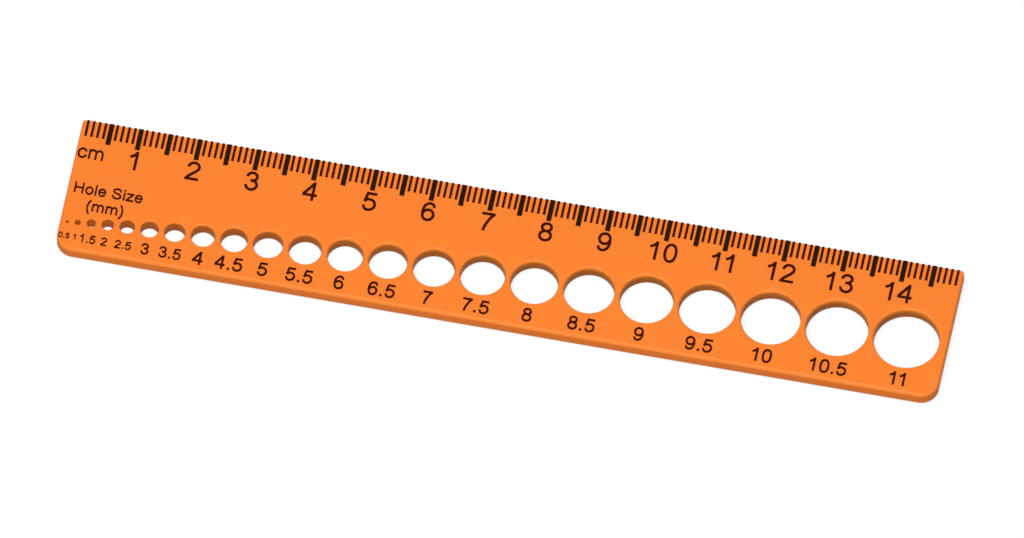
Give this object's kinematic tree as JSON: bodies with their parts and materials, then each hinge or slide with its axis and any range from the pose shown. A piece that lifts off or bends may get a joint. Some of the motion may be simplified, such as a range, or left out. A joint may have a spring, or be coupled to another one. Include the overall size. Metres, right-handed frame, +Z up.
{
  "type": "ruler",
  "caption": "Flat plastic ruler with raised black centimetre and millimetre marks along one edge and a row of graded round sizing holes along the other.",
  "frame": {"origin": "centre of the underside, midway between the ends and midway between the scale edge and the front edge", "axes": "+X along the scale away from its zero end, +Y towards the scale edge, +Z up out of the marked face"},
  "size_m": [0.15, 0.025, 0.003],
  "materials": {
    "orange_plastic": "smooth moulded, satin",
    "black_plastic": "raised markings, matt"
  },
  "bodies": {
    "root": {"ruler_plate": "orange_plastic", "millimetre_marks": "black_plastic", "five_millimetre_marks": "black_plastic"}
  },
  "joints": []
}
